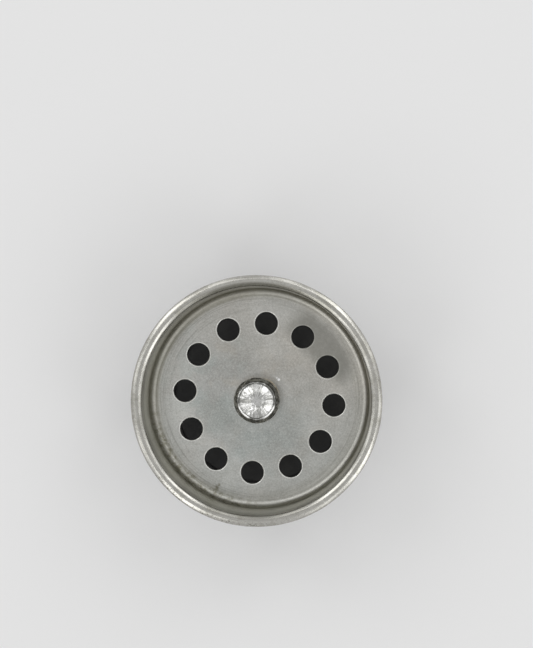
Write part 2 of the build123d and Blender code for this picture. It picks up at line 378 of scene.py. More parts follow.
@dataclass(frozen=True)
class SatinSteel:
    """Pressed stainless sheet: satin on the floor, drawn on the wall, with water marks and painted shade in
    its corner, and painted light and shade on its floor.
    """

    floor: Colour = (0.415, 0.418, 0.402, 1.0)
    warm: Colour = (0.435, 0.416, 0.378, 1.0)
    cool: Colour = (0.385, 0.417, 0.405, 1.0)
    tan: Colour = (0.46, 0.43, 0.355, 1.0)
    wall: Colour = (0.416, 0.404, 0.342, 1.0)
    outside: Colour = (0.42, 0.416, 0.392, 1.0)
    dull: Colour = (0.254, 0.25, 0.226, 1.0)
    film_and_shade: Colour = (0.16, 0.152, 0.108, 1.0)
    # A lighter steel, for wear and for painted light and highlights.
    wear_and_highlight: Colour = (0.68, 0.68, 0.65, 1.0)
    glare: Colour = grey(0.9)
    roughness: float = 0.34
    shape: CupFloor = CupFloor()
    taper: float = 0.033
    inside_room: Point = (0.30, 0.20)
    hole_highlight_room: Point = (0.30, 0.14)
    hole_highlight_drop: Point = (0.35, 0.12)
    wall_foot: Point = (23.3, 24.1)
    rim_shadow_levels: Point = (-4.0, -0.6)
    corner_levels: Point = (-10.0, -11.2)
    warm_azimuth: float = 32.0
    warm_rate: float = 0.00566
    tan_azimuth: float = 329.0
    tan_ring: Band = (21.9, 0.5, 1.1)
    cool_azimuth: float = 290.0
    patch_azimuth: float = 45.0
    patch_rag: float = 2.4
    bend_shade_azimuth: float = 153.4
    bend_shade_ring: Band = (23.3, 0.7, 0.5)
    bend_shade_levels: Point = (-11.0, -11.8)
    stain_azimuth: float = 227.8
    scratch_levels: Band = (-7.5, 1.5, 2.5)
    painted_light_spots: tuple[FloorSpot, ...] = (
        FloorSpot(15.3, -5.0, 3.0, 5.5, 0.27),
        FloorSpot(8.0, 0.5, 2.0, 4.0, 0.18),
        FloorSpot(0.6, 12.4, 2.0, 4.0, 0.26),
        FloorSpot(4.0, 21.8, 3.0, 5.0, 0.50),
        FloorSpot(-20.4, -4.5, 3.0, 4.0, 0.24),
        FloorSpot(-16.0, -14.3, 3.0, 4.0, 0.20),
        FloorSpot(-7.6, -15.8, 2.0, 3.5, 0.24),
    )
    painted_shade_spots: tuple[FloorSpot, ...] = (
        FloorSpot(-7.2, 10.2, 4.0, 6.5, 0.27),
        FloorSpot(6.3, -12.0, 2.6, 5.0, 0.24),
        FloorSpot(-9.5, -3.2, 3.0, 4.0, 0.18),
        FloorSpot(3.0, -20.0, 1.5, 2.5, 0.22),
    )
    smudge: tuple[FloorSpot, ...] = (
        FloorSpot(-9.6, -19.9, 0.20, 0.75),
        FloorSpot(-8.9, -19.2, 0.05, 0.5, 0.8),
    )
    glint: tuple[FloorSpot, ...] = (
        FloorSpot(4.3, 4.05, 0.14, 0.28),
        FloorSpot(3.85, 4.45, 0.05, 0.32, 0.6),
    )

    def from_hole(self, tree: FinishTree) -> Signal:
        """The distance from the nearest drain hole.

        Args:
            tree: The material's nodes.

        Returns:
            Millimetres from that hole's centre.
        """
        pitch = self.shape.pitch
        angle = tree.y.maths("ARCTAN2", tree.x) - self.shape.first_edge
        turned = angle.maths("FLOORED_MODULO", pitch) - pitch / 2
        along = tree.radius * turned.maths("COSINE") - self.shape.hole_circle
        across = tree.radius * turned.maths("SINE")
        return (along * along + across * across) ** 0.5

    def inside(self, tree: FinishTree) -> Signal:
        """Tells the sheet's inner face from its outer one.

        Args:
            tree: The material's nodes.

        Returns:
            1 on the inner face, and 0 on the outer one.
        """
        bend = self.shape.bend
        height = tree.z - (self.shape.top + bend)
        upright = tree.radius - height.maths("MAXIMUM", 0.0) * self.taper
        outward = (upright - (self.shape.radius - bend)).maths("MAXIMUM", 0.0)
        down = height.maths("MINIMUM", 0.0)
        away = (outward * outward + down * down) ** 0.5
        outer, inner = self.inside_room
        return away.ramp(bend + outer, bend + inner)

    def bend_shade(self, tree: FinishTree) -> Signal:
        """Painted shade on the bend at the floor's edge, which is darkest to the west and north.

        Args:
            tree: The material's nodes.

        Returns:
            The painted shade's share, on both faces of the sheet.
        """
        side = tree.toward(self.bend_shade_azimuth).ramp(-8.9, 10.7)
        ring = tree.radius.band(*self.bend_shade_ring) * tree.z.ramp(*self.bend_shade_levels)
        return ring * (0.15 + side * 0.85)

    def tints(self, tree: FinishTree, flat: Signal) -> list[Coat]:
        """The floor's broad tints, and painted light and shade on it: paler and darker spots and stretches.

        Args:
            tree: The material's nodes.
            flat: 1 on the floor, and 0 on the wall.

        Returns:
            The coats, in order.
        """
        tint = tree.noise(0.17, 3.0, 0.55) + tree.toward(self.warm_azimuth) * self.warm_rate
        toward_patch = tree.toward(self.patch_azimuth)
        tanned = tree.toward(self.tan_azimuth).ramp(3.4, 15.4) * tree.radius.band(*self.tan_ring)
        middle = tree.radius.ramp(15.0, 9.0) * tree.y.ramp(4.0, -6.0)
        cooled = tree.toward(self.cool_azimuth).ramp(4.0, 13.0)
        coats = [
            (tint.ramp(0.52, 0.66), self.warm),
            (tint.ramp(0.48, 0.34), self.cool),
            (toward_patch.ramp(-3.0, 12.0) * 0.7, self.warm),
            (tanned * 0.55, self.tan),
            # Painted shade south of the middle, with a cooler tint there.
            (middle * 0.30, self.dull),
            (middle * 0.5, self.cool),
            (tree.radius.ramp(21.8, 22.8) * 0.55, self.tan),
            (tree.radius.ramp(12.5, 17.0) * 0.35, self.warm),
            # Painted shade toward the south-south-east, with a cooler tint there.
            (cooled * 0.16, self.dull),
            (cooled * 0.30, self.cool),
            # Painted light on the paler spots, and painted shade on the darker ones.
            *((spot.mask(tree), self.wear_and_highlight) for spot in self.painted_light_spots),
            *((spot.mask(tree), self.dull) for spot in self.painted_shade_spots),
            # Painted light: the floor is lighter to the south-west, toward the wall and to the west.
            (toward_patch.ramp(-9.0, -17.0) * 0.14, self.wear_and_highlight),
            (tree.radius.ramp(12.0, 21.0) * 0.24, self.wear_and_highlight),
            (tree.x.ramp(-5.0, -18.0) * 0.04, self.wear_and_highlight),
        ]
        return [(share * flat, colour) for share, colour in coats]

    def marks(self, tree: FinishTree, inside: Signal) -> list[Coat]:
        """A darker patch to the north-east, painted shade in the floor's corner, the stains, scratches and
        smudge of a used piece, and a painted glint.

        Args:
            tree: The material's nodes.
            inside: 1 on the sheet's inner face, and 0 on its outer one.

        Returns:
            The coats, in order.
        """
        blotch = tree.noise(0.75, 4.0, 0.62)
        fleck = tree.noise(2.6, 3.0, 0.7)
        scratch = tree.noise(1.0, 3.0, 0.7, tree.round_place(22.0, 0.5, 6.0)).ramp(0.55, 0.63)
        ragged = blotch.swing() * self.patch_rag
        along = tree.toward(self.patch_azimuth)
        across = tree.toward(self.patch_azimuth - 90.0)
        patch = (along + ragged).ramp(13.0, 16.0) * (tree.radius + ragged).ramp(22.5, 20.3)
        patch = patch * across.band(2.0, 6.4, 4.5) * (0.60 + blotch * 0.62)
        corner = tree.z.ramp(*self.corner_levels)
        stained = tree.toward(self.stain_azimuth).ramp(15.0, 22.0)
        stain = tree.radius.ramp(21.9, 22.9) * corner * stained * blotch.ramp(0.44, 0.62)
        chips = tree.radius.ramp(21.9, 22.6) * corner * stained * fleck.ramp(0.57, 0.66)
        scratch = scratch * tree.radius.ramp(23.8, 24.2) * tree.z.band(*self.scratch_levels) * stained
        smudge = sum(spot.mask(tree) for spot in self.smudge) * blotch.ramp(0.30, 0.60)
        coats = [
            (patch * 0.88, self.dull),
            # Painted shade in the corner at the floor's edge, and more of it on the bend.
            (tree.radius.ramp(22.7, 23.8) * corner * (0.02 + blotch * 0.14), self.film_and_shade),
            (self.bend_shade(tree) * (0.26 + blotch * 0.26), self.film_and_shade),
            (stain * 0.70, self.film_and_shade),
            (chips * 0.6, self.wear_and_highlight),
            (scratch * 0.9, self.wear_and_highlight),
            (smudge * 0.9, self.film_and_shade),
            # Painted glint: a bright spot that stands in for a highlight.
            (sum(spot.mask(tree) for spot in self.glint), self.glare),
        ]
        return [(share * inside, colour) for share, colour in coats]

    def make(self) -> bpy.types.Material:
        """Builds the material.

        Returns:
            The finish for the cup.
        """
        tree = FinishTree("satin_steel")
        cloud = tree.noise(0.11, 3.0, 0.55)
        mottle = tree.noise(0.6, 4.0, 0.65)
        speck = tree.noise(2.2, 4.0, 0.75)
        grain = tree.noise(5.0, 3.0, 0.7)
        rolled = tree.noise(1.0, 4.0, 0.7, tree.vector(tree.x * 0.35, tree.y * 7.0, tree.z))
        drawn = tree.noise(1.0, 4.0, 0.75, tree.round_place(60.0, 0.35, 0.35))
        rings = tree.noise(1.0, 3.0, 0.6, tree.round_place(1.2, 6.0, 6.0))
        tracks = tree.noise(1.0, 3.0, 0.6, tree.round_place(1.1, 2.6, 2.6))
        inside = self.inside(tree)
        wall = tree.radius.ramp(*self.wall_foot)
        flat = 1 - wall
        fine = 0.3 + flat * 0.7
        ringed = flat * tree.radius.ramp(19.0, 22.5)
        tracked = flat * tree.radius.ramp(17.5, 20.5) * (0.35 + tree.x.ramp(4.0, -14.0) * 0.65)
        # Painted shade on the inner wall, under the rim.
        under_rim = tree.z.ramp(*self.rim_shadow_levels) * wall * inside
        # Painted highlight on the rounded edge of each drain hole.
        lip = self.from_hole(tree).ramp(*(self.shape.hole_radius + room for room in self.hole_highlight_room))
        lip = lip * tree.z.ramp(*(self.shape.top - drop for drop in self.hole_highlight_drop))
        colour = tree.layers(
            self.floor,
            (wall, self.outside),
            (wall * inside, self.wall),
            *self.tints(tree, flat),
            (cloud.ramp(0.60, 0.32) * 0.22, self.dull),
            (flat * mottle.ramp(0.50, 0.34) * 0.13, self.dull),
            (flat * mottle.ramp(0.50, 0.66) * 0.11, self.wear_and_highlight),
            (fine * speck.ramp(0.50, 0.32) * 0.38, self.dull),
            (fine * speck.ramp(0.50, 0.68) * 0.30, self.wear_and_highlight),
            (fine * grain.ramp(0.50, 0.34) * 0.30, self.dull),
            (fine * grain.ramp(0.50, 0.66) * 0.26, self.wear_and_highlight),
            (ringed * rings.ramp(0.50, 0.38) * 0.32, self.dull),
            (ringed * rings.ramp(0.56, 0.68) * 0.35, self.wear_and_highlight),
            (tracked * tracks.ramp(0.46, 0.36) * 0.42, self.dull),
            (tracked * tracks.ramp(0.54, 0.64) * 0.26, self.wear_and_highlight),
            (wall * drawn.ramp(0.52, 0.36) * 0.35, self.dull),
            (wall * drawn.ramp(0.56, 0.72) * 0.20, self.wear_and_highlight),
            (under_rim * 0.72, self.film_and_shade),
            (lip, self.wear_and_highlight),
            *self.marks(tree, inside),
        )
        shine = self.roughness + cloud.swing() * 0.16 + grain.swing() * 0.10
        shine = shine + rolled.swing() * 0.08 * flat + drawn.swing() * 0.10 * wall
        shine = shine + self.bend_shade(tree) * inside * 0.14
        normal = tree.bump(grain, 0.004)
        normal = tree.bump(rolled * flat, 0.006, normal)
        normal = tree.bump(drawn * wall, 0.012, normal)
        normal = tree.bump(rings * (1 - flat * 0.6), 0.010, normal)
        return tree.finish(Base_Color=colour, Metallic=1.0, Roughness=shine, Normal=normal)


@dataclass(frozen=True)
class WornRim:
    """The rolled rim: bright steel with fine flecks, dull smears, a few nicks, and painted shade on its
    inner edge to the north and south.
    """

    colour: Colour = (0.50, 0.492, 0.458, 1.0)
    dull: Colour = (0.29, 0.28, 0.24, 1.0)
    bright: Colour = (0.68, 0.68, 0.66, 1.0)
    deep: Colour = (0.10, 0.095, 0.07, 1.0)
    roughness: float = 0.19
    nick_azimuth: float = 243.2
    nick_radii: Point = (25.6, 26.3)
    shaded_edge_radii: Point = (25.8, 25.1)

    def make(self) -> bpy.types.Material:
        """Builds the material.

        Returns:
            The finish for the rim.
        """
        tree = FinishTree("worn_rim")
        cloud = tree.noise(0.35, 4.0, 0.6)
        grain = tree.noise(4.0, 3.0, 0.7)
        flecks = tree.noise(1.0, 3.0, 0.75, tree.round_place(45.0, 2.2, 2.2))
        rings = tree.noise(1.0, 3.0, 0.7, tree.round_place(2.5, 7.0, 7.0))
        nicks = tree.noise(2.2, 3.0, 0.7).ramp(0.56, 0.63) * tree.radius.ramp(*self.nick_radii)
        nicked = tree.toward(self.nick_azimuth).ramp(20.6, 25.1)
        # Painted shade on the rim's inner edge, to the north and south.
        shaded_edge = tree.y.ramp(14.0, 24.0) * 0.75 + tree.y.ramp(-20.0, -24.5) * 0.42
        colour = tree.layers(
            self.colour,
            (cloud.ramp(0.46, 0.68) * 0.45, self.dull),
            (flecks.ramp(0.54, 0.72) * 0.4, self.bright),
            (flecks.ramp(0.46, 0.30) * 0.4, self.dull),
            (rings.ramp(0.50, 0.36) * 0.35, self.dull),
            (nicks * nicked * 0.75, self.deep),
            (tree.radius.ramp(*self.shaded_edge_radii) * shaded_edge * (0.5 + flecks), self.deep),
        )
        shine = self.roughness + cloud.swing() * 0.14 + flecks.swing() * 0.12
        normal = tree.bump(grain, 0.003)
        normal = tree.bump(rings, 0.008, normal)
        normal = tree.bump(flecks, 0.006, normal)
        return tree.finish(Base_Color=colour, Metallic=1.0, Roughness=shine, Normal=normal)


@dataclass(frozen=True)
class PolishedChrome:
    """Bright plating over a turned knob: a wiped face with painted reflections, a scuffed shoulder with
    some painted reflection, and a crest between them with painted shade and painted highlights.
    """

    colour: Colour = (0.62, 0.62, 0.61, 1.0)
    dull: Colour = (0.33, 0.33, 0.31, 1.0)
    scuffed: Colour = (0.62, 0.62, 0.60, 1.0)
    deep: Colour = (0.14, 0.14, 0.13, 1.0)
    # A brighter chrome, for scuffs and for painted highlights and reflections.
    wear_and_highlight: Colour = (0.92, 0.92, 0.90, 1.0)
    roughness: float = 0.15
    top: KnobTop = KnobTop()
    face_blur: float = 0.08

    def make(self) -> bpy.types.Material:
        """Builds the material.

        Returns:
            The finish for the knob.
        """
        tree = FinishTree("polished_chrome")
        turning = tree.noise(1.0, 3.0, 0.7, tree.round_place(0.6, 9.0, 9.0))
        wipes = tree.noise(1.0, 4.0, 0.75, tree.vector(tree.x * 4.5, tree.y * 0.8, tree.z))
        haze = tree.noise(0.7, 3.0, 0.6)
        sectors = tree.noise(1.0, 4.0, 0.75, tree.round_place(2.6, 0.22, 0.0))
        spokes = tree.noise(1.0, 3.0, 0.7, tree.round_place(7.5, 0.35, 0.0))
        patches = tree.noise(1.0, 4.0, 0.7, tree.round_place(3.6, 2.6, 3.4))
        wave = tree.noise(0.42, 2.0, 0.5)
        pits = tree.noise(3.4, 3.0, 0.7)
        side = tree.radius.ramp(self.top.face, self.top.face + self.face_blur)
        face = 1 - side
        shoulder = side * tree.z.ramp(-2.4, -1.4)
        spoked = face * tree.radius.ramp(0.3, 1.2)
        crest = tree.radius.band(self.top.crest, 0.20, 0.12) * tree.z.ramp(0.0, 0.2)
        highlight_arcs = tree.y.ramp(-0.6, -1.6) * tree.x.maths("ABSOLUTE").ramp(1.2, 1.9)
        colour = tree.layers(
            self.colour,
            (haze.ramp(0.45, 0.70) * 0.30, self.dull),
            # Painted reflections on the face: darker sectors, and darker and brighter spokes.
            (sectors.ramp(0.50, 0.57) * tree.radius.ramp(0.4, 1.3) * 0.8, self.dull),
            (spoked * spokes.ramp(0.51, 0.57) * 0.62, self.dull),
            (spoked * spokes.ramp(0.47, 0.41) * 0.55, self.wear_and_highlight),
            (wipes.ramp(0.51, 0.63) * 0.62, self.dull),
            (pits.ramp(0.52, 0.66) * 0.50, self.dull),
            (shoulder, self.scuffed),
            # Darker and brighter mottles on the shoulder: scuffs, and partly painted reflection.
            (shoulder * patches.ramp(0.525, 0.46) * 0.82, self.deep),
            (shoulder * patches.ramp(0.55, 0.60) * 0.82, self.wear_and_highlight),
            # Painted shade over most of the crest, and painted highlight arcs on it to the south.
            (crest * (0.85 - patches.ramp(0.50, 0.62) * 0.55), self.deep),
            (crest * highlight_arcs, self.wear_and_highlight),
        )
        shine = self.roughness + haze.ramp(0.4, 0.8) * 0.10 + wipes.ramp(0.5, 0.8) * 0.10
        shine = shine + shoulder * 0.16
        normal = tree.bump(wave * face, 0.26)
        normal = tree.bump(turning, 0.004, normal)
        normal = tree.bump(wipes * face, 0.012, normal)
        normal = tree.bump(patches * shoulder, 0.04, normal)
        return tree.finish(Base_Color=colour, Metallic=1.0, Roughness=shine, Normal=normal)


@dataclass(frozen=True)
class TurnedMetal:
    """Bar metal turned on a lathe: fine rings and a cloudy tarnish."""

    name: str
    colour: Colour
    tarnish: Colour
    roughness: float
    ring_rate: float = 7.0
    ring_depth: float = 0.008
    tarnish_share: float = 0.45

    def make(self) -> bpy.types.Material:
        """Builds the material.

        Returns:
            The finish.
        """
        tree = FinishTree(self.name)
        rings = tree.noise(1.0, 3.0, 0.65, tree.round_place(0.5, self.ring_rate, self.ring_rate))
        cloud = tree.noise(0.5, 4.0, 0.6)
        grain = tree.noise(6.0, 2.0, 0.6)
        colour = tree.layers(
            self.colour,
            (cloud.ramp(0.42, 0.68) * self.tarnish_share, self.tarnish),
            (rings.ramp(0.55, 0.75) * 0.18, self.tarnish),
        )
        shine = self.roughness + cloud.swing() * 0.2 + rings.swing() * 0.12
        normal = tree.bump(grain, 0.003)
        normal = tree.bump(rings, self.ring_depth, normal)
        return tree.finish(Base_Color=colour, Metallic=1.0, Roughness=shine, Normal=normal)


@dataclass(frozen=True)
class MouldedRubber:
    """Matt black rubber with a moulded skin and a thin pale bloom."""

    colour: Colour = (0.010, 0.010, 0.010, 1.0)
    bloom: Colour = (0.030, 0.030, 0.028, 1.0)
    roughness: float = 0.62

    def make(self) -> bpy.types.Material:
        """Builds the material.

        Returns:
            The finish for the stopper.
        """
        tree = FinishTree("moulded_rubber")
        cloud = tree.noise(0.22, 4.0, 0.6)
        speckle = tree.noise(3.2, 3.0, 0.7)
        flow = tree.noise(1.0, 2.0, 0.5, tree.round_place(6.0, 1.6, 1.6))
        colour = tree.layers(
            self.colour,
            (cloud.ramp(0.40, 0.75) * 0.7, self.bloom),
            (speckle.ramp(0.66, 0.80) * 0.35, self.bloom),
        )
        shine = self.roughness + cloud.swing() * 0.25 + speckle.swing() * 0.15
        normal = tree.bump(speckle, 0.020)
        normal = tree.bump(flow, 0.020, normal)
        return tree.finish(Base_Color=colour, Roughness=shine, Normal=normal)


@dataclass(frozen=True)
class MouldedNylon:
    """Natural nylon, a little yellow and cloudy, with soft flow marks."""

    colour: Colour = (0.72, 0.69, 0.60, 1.0)
    yellow: Colour = (0.60, 0.54, 0.40, 1.0)
    roughness: float = 0.42

    def make(self) -> bpy.types.Material:
        """Builds the material.

        Returns:
            The finish for the peg.
        """
        tree = FinishTree("moulded_nylon")
        cloud = tree.noise(0.35, 3.0, 0.5)
        grain = tree.noise(4.0, 2.0, 0.6)
        flow = tree.noise(1.0, 3.0, 0.6, tree.vector(tree.x * 1.6, tree.y * 1.6, tree.z * 0.35))
        colour = tree.layers(self.colour, (cloud.ramp(0.45, 0.80) * 0.6, self.yellow))
        shine = self.roughness + cloud.swing() * 0.2 + grain.swing() * 0.1
        normal = tree.bump(grain, 0.006)
        normal = tree.bump(flow, 0.020, normal)
        return tree.finish(Base_Color=colour, Roughness=shine, Normal=normal)


@dataclass(frozen=True)
class StudioPaper:
    """The plain pale floor, which isn't there when it is seen from below."""

    colour: Colour = grey(0.76)
    fibre_colour: Colour = grey(0.70)
    fibre_share: float = 0.04

    def make(self) -> bpy.types.Material:
        """Builds the material.

        Returns:
            The finish for the floor.
        """
        tree = FinishTree("studio_paper")
        fibre = tree.noise(0.4, 3.0, 0.6)
        colour = tree.layers(self.colour, (fibre * self.fibre_share, self.fibre_colour))
        paper = tree.node("ShaderNodeBsdfDiffuse", {}, {"Color": colour})
        clear = tree.node("ShaderNodeBsdfTransparent")
        behind = tree.node("ShaderNodeNewGeometry").outputs["Backfacing"]
        both = tree.node("ShaderNodeMixShader", {}, {0: behind, 1: paper.outputs[0], 2: clear.outputs[0]})
        tree.node("ShaderNodeOutputMaterial", {}, {"Surface": both.outputs[0]})
        return tree.material


# Turned meshes


@dataclass(frozen=True)
class Corner:
    """One corner of a turned outline, in millimetres, and the radius that rounds it."""

    radius: float
    level: float
    bend: float = 0.0

    def spot(self) -> Vector:
        """The corner as a flat vector."""
        return Vector((self.radius, self.level))


@dataclass(frozen=True)
class Outline:
    """A line of corners that is turned about the post's axis."""

    corners: tuple[Corner, ...]
    arc_step: float = math.radians(6.0)
    fewest_steps: int = 2
    hold: float = 0.03
    shortest_held: float = 0.12

    def points(self) -> list[Point]:
        """Rounds the corners and holds each straight run flat up to its ends.

        Returns:
            Points of radius and height in millimetres.
        """
        bent: list[Vector] = [self.corners[0].spot()]
        for before, corner, after in zip(self.corners, self.corners[1:], self.corners[2:]):
            bent.extend(self.arc(before.spot(), corner, after.spot()))
        bent.append(self.corners[-1].spot())
        held: list[Point] = []
        for start, end in zip(bent, bent[1:]):
            held.append((start.x, start.y))
            run = end - start
            if run.length > self.shortest_held:
                step = run.normalized() * self.hold
                held.append(tuple(start + step))
                held.append(tuple(end - step))
        held.append((bent[-1].x, bent[-1].y))
        return held

    def arc(self, before: Vector, corner: Corner, after: Vector) -> list[Vector]:
        """The arc that rounds one corner.

        Args:
            before: The corner before it.
            corner: The corner itself.
            after: The corner after it.

        Returns:
            Points along the arc, or the corner alone where it isn't rounded.
        """
        spot = corner.spot()
        into = (spot - before).normalized()
        out = (after - spot).normalized()
        turn = math.atan2(into.x * out.y - into.y * out.x, into.dot(out))
        if corner.bend <= 0 or abs(turn) < STRAIGHT_TURN:
            return [spot]
        side = math.copysign(1.0, turn)
        start = spot - into * corner.bend * math.tan(abs(turn) / 2)
        centre = start + Vector((-into.y, into.x)) * corner.bend * side
        count = max(self.fewest_steps, math.ceil(abs(turn) / self.arc_step))
        spoke = start - centre
        turns = [Matrix.Rotation(turn * step / count, 2) for step in range(count + 1)]
        return [centre + rotation @ spoke for rotation in turns]


@dataclass(frozen=True)
class Sheet:
    """Sheet metal of even thickness along a path, which is its near side."""

    path: tuple[Corner, ...]
    thickness: float

    def far_side(self) -> tuple[Corner, ...]:
        """The other side of the sheet, to the right of the path.

        Returns:
            Its corners, in the path's order.
        """
        spots = [corner.spot() for corner in self.path]
        runs = [(end - start).normalized() for start, end in zip(spots, spots[1:])]
        rights = [Vector((run.y, -run.x)) for run in runs]
        far = [Corner(*(spots[0] + rights[0] * self.thickness))]
        for corner, before, after in zip(self.path[1:], rights, rights[1:]):
            place = corner.spot() + (before + after) * (self.thickness / (1 + before.dot(after)))
            turn = before.x * after.y - before.y * after.x
            bend = corner.bend + math.copysign(self.thickness, turn)
            far.append(Corner(place.x, place.y, max(bend, 0.0)))
        far.append(Corner(*(spots[-1] + rights[-1] * self.thickness)))
        return tuple(far)


class TurnedMesh:
    """Collects turned surfaces and makes one closed mesh of them."""

    def __init__(self, segments: int, first_angle: float = 0.0) -> None:
        """Starts with no faces.

        Args:
            segments: How many steps there are round the axis.
            first_angle: Where the first step starts, in radians.
        """
        self.segments = segments
        self.first_angle = first_angle
        self.vertices: list[Vector] = []
        self.faces: list[list[int]] = []

    def direction(self, step: float) -> Vector:
        """The direction of a step round the axis."""
        angle = self.first_angle + math.tau * step / self.segments
        return Vector((math.cos(angle), math.sin(angle), 0.0))

    def loop(self, places: Sequence[Vector], level: float) -> list[int]:
        """Adds a loop of vertices.

        Args:
            places: The vertices' places, at no height.
            level: Their height in millimetres.

        Returns:
            The vertices' numbers.
        """
        first = len(self.vertices)
        self.vertices.extend(place + Vector((0.0, 0.0, level)) for place in places)
        return list(range(first, len(self.vertices)))

    def stitch(self, loops: Sequence[list[int]]) -> None:
        """Joins closed loops of equal length with faces, each loop to the next.

        Args:
            loops: The numbers of each loop's vertices.
        """
        for first, second in zip(loops, loops[1:]):
            for here in range(len(first)):
                there = (here + 1) % len(first)
                self.faces.append([first[here], first[there], second[there], second[here]])

    def turn(self, points: Sequence[Point]) -> None:
        """Turns a line of points into a surface.

        Args:
            points: Radius and height in millimetres, with the surface's outer side on their left.
        """
        directions = [self.direction(step) for step in range(self.segments)]
        self.stitch([self.loop([way * radius for way in directions], level) for radius, level in points])

    def build(self, name: str) -> bpy.types.Object:
        """Welds the surfaces and makes the object.

        Args:
            name: The object's name.

        Returns:
            The object, in metres, in the frame's own place.
        """
        mesh = bpy.data.meshes.new(name)
        mesh.from_pydata([place * MM for place in self.vertices], [], self.faces)
        made = bmesh.new()
        made.from_mesh(mesh)
        bmesh.ops.remove_doubles(made, verts=made.verts, dist=WELD_DISTANCE)
        bmesh.ops.recalc_face_normals(made, faces=made.faces)
        for face in made.faces:
            face.smooth = True
        made.to_mesh(mesh)
        made.free()
        mesh.set_sharp_from_angle(angle=SHARP_ANGLE)
        piece = bpy.data.objects.new(name, mesh)
        bpy.context.scene.collection.objects.link(piece)
        return piece


def dress(piece: bpy.types.Object, *finishes: bpy.types.Material) -> None:
    """Gives a new piece its finishes.

    Args:
        piece: The object, which has no slots yet.
        finishes: The material of each slot.
    """
    for finish in finishes:
        piece.data.materials.append(finish)


def dress_nodes(finishes: dict[str, bpy.types.Material]) -> None:
    """Puts finishes on CAD nodes, whose meshes stay as they are.

    Args:
        finishes: The material that fills all of a node's slots, by the node's name.
    """
    for name, finish in finishes.items():
        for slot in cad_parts[name].material_slots:
            slot.link = "OBJECT"
            slot.material = finish
        log.info("%s: %s", name, finish.name)


# Sub-assemblies


